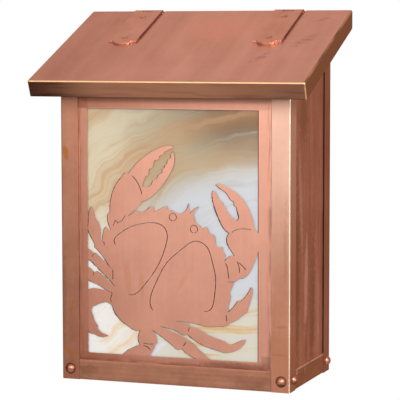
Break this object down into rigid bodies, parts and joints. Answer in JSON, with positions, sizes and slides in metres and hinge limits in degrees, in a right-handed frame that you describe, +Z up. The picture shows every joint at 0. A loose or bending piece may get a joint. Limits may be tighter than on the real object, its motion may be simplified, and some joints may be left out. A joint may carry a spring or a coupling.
{
  "type": "wall mounted mailbox",
  "caption": "Copper wall mailbox with a sloping hinged lid on two strap hinges and a crab cut out of its front over streaky art glass.",
  "frame": {"origin": "middle of the four wall screw holes, on the back panel's outer face", "axes": "+X to the viewer's right as one faces the box, +Y into the wall, +Z up"},
  "size_m": [0.3026, 0.1762, 0.3925],
  "materials": {
    "copper_sheet": "brushed copper sheet, lightly tarnished",
    "copper_hinge": "satin copper strip",
    "copper_rivet": "polished copper",
    "art_glass": "opalescent streaky glass, glossy"
  },
  "bodies": {
    "box": {"back_panel": "copper_sheet", "left_side_panel": "copper_sheet", "right_side_panel": "copper_sheet", "bottom_tray": "copper_sheet", "crab_panel": "copper_sheet", "art_glass": "art_glass", "glass_clips": "copper_sheet", "left_corner_angle": "copper_sheet", "right_corner_angle": "copper_sheet", "front_corner_rivets": "copper_rivet", "side_front_rivets": "copper_rivet", "side_rear_rivets": "copper_rivet", "left_hinge_leaf": "copper_hinge", "right_hinge_leaf": "copper_hinge", "left_hinge_pin": "copper_rivet", "right_hinge_pin": "copper_rivet", "leaf_rivets": "copper_rivet"},
    "lid": {"lid_pan": "copper_sheet", "left_hinge_strap": "copper_hinge", "right_hinge_strap": "copper_hinge", "strap_rivets": "copper_rivet"}
  },
  "joints": [
    {"name": "lid_hinge", "type": "hinge", "parent": "box", "child": "lid", "pos_m": [0, -0.0051, 0.1984], "axis": [-1, 0, 0], "range_deg": [0, 110]}
  ]
}
